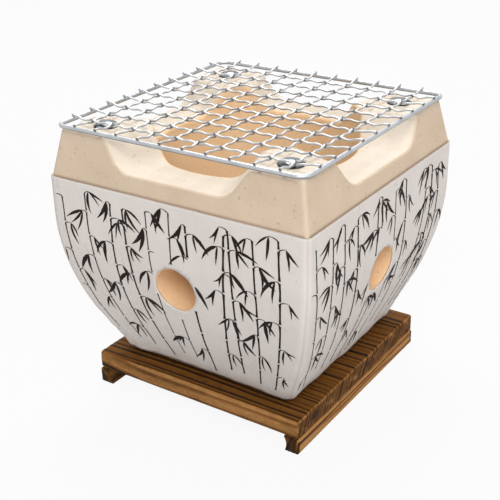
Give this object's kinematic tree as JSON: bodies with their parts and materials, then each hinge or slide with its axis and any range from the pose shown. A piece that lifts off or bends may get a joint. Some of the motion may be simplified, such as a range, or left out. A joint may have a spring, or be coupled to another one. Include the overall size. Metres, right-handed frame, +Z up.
{
  "type": "tabletop charcoal grill",
  "caption": "Small square clay charcoal grill in a paper wrap with a scalloped rim, round side vents, a crimped wire net on corner studs and a burnt wood base board.",
  "frame": {"origin": "on the table under the middle of the wooden base", "axes": "+Z up, X along the grain of the board, Y along the cleats"},
  "size_m": [0.1568, 0.1568, 0.1576],
  "materials": {
    "clay": "matt, porous",
    "paper": "matt, pasted on",
    "burnt_wood": "burnt and brushed",
    "raw_wood": "lightly burnt",
    "nail_steel": "plain",
    "stud_steel": "bright",
    "net_steel": "bright",
    "iron": "rough"
  },
  "bodies": {
    "base": {"base_board": "burnt_wood", "base_cleat_left": "raw_wood", "base_cleat_right": "raw_wood", "base_nail_1": "nail_steel", "base_nail_2": "nail_steel", "base_nail_3": "nail_steel", "base_nail_4": "nail_steel"},
    "stove": {"clay_body": "clay", "paper_wrap": "paper", "rim_stud_1": "stud_steel", "rim_stud_2": "stud_steel", "rim_stud_3": "stud_steel", "rim_stud_4": "stud_steel"},
    "net": {"net_frame": "net_steel", "net_wire_x_01": "net_steel", "net_wire_x_02": "net_steel", "net_wire_x_03": "net_steel", "net_wire_x_04": "net_steel", "net_wire_x_05": "net_steel", "net_wire_x_06": "net_steel", "net_wire_x_07": "net_steel", "net_wire_x_08": "net_steel", "net_wire_x_09": "net_steel", "net_wire_x_10": "net_steel", "net_wire_y_01": "net_steel", "net_wire_y_02": "net_steel", "net_wire_y_03": "net_steel", "net_wire_y_04": "net_steel", "net_wire_y_05": "net_steel", "net_wire_y_06": "net_steel", "net_wire_y_07": "net_steel", "net_wire_y_08": "net_steel", "net_wire_y_09": "net_steel", "net_wire_y_10": "net_steel"},
    "grate": {"fire_grate": "iron"}
  },
  "joints": [
    {"name": "body_lift", "type": "slide", "parent": "base", "child": "stove", "axis": [0, 0, 1], "range_m": [0, 0.1]},
    {"name": "net_lift", "type": "slide", "parent": "stove", "child": "net", "axis": [0, 0, 1], "range_m": [0, 0.08]},
    {"name": "grate_lift", "type": "slide", "parent": "stove", "child": "grate", "axis": [0, 0, 1], "range_m": [0, 0.05]}
  ]
}
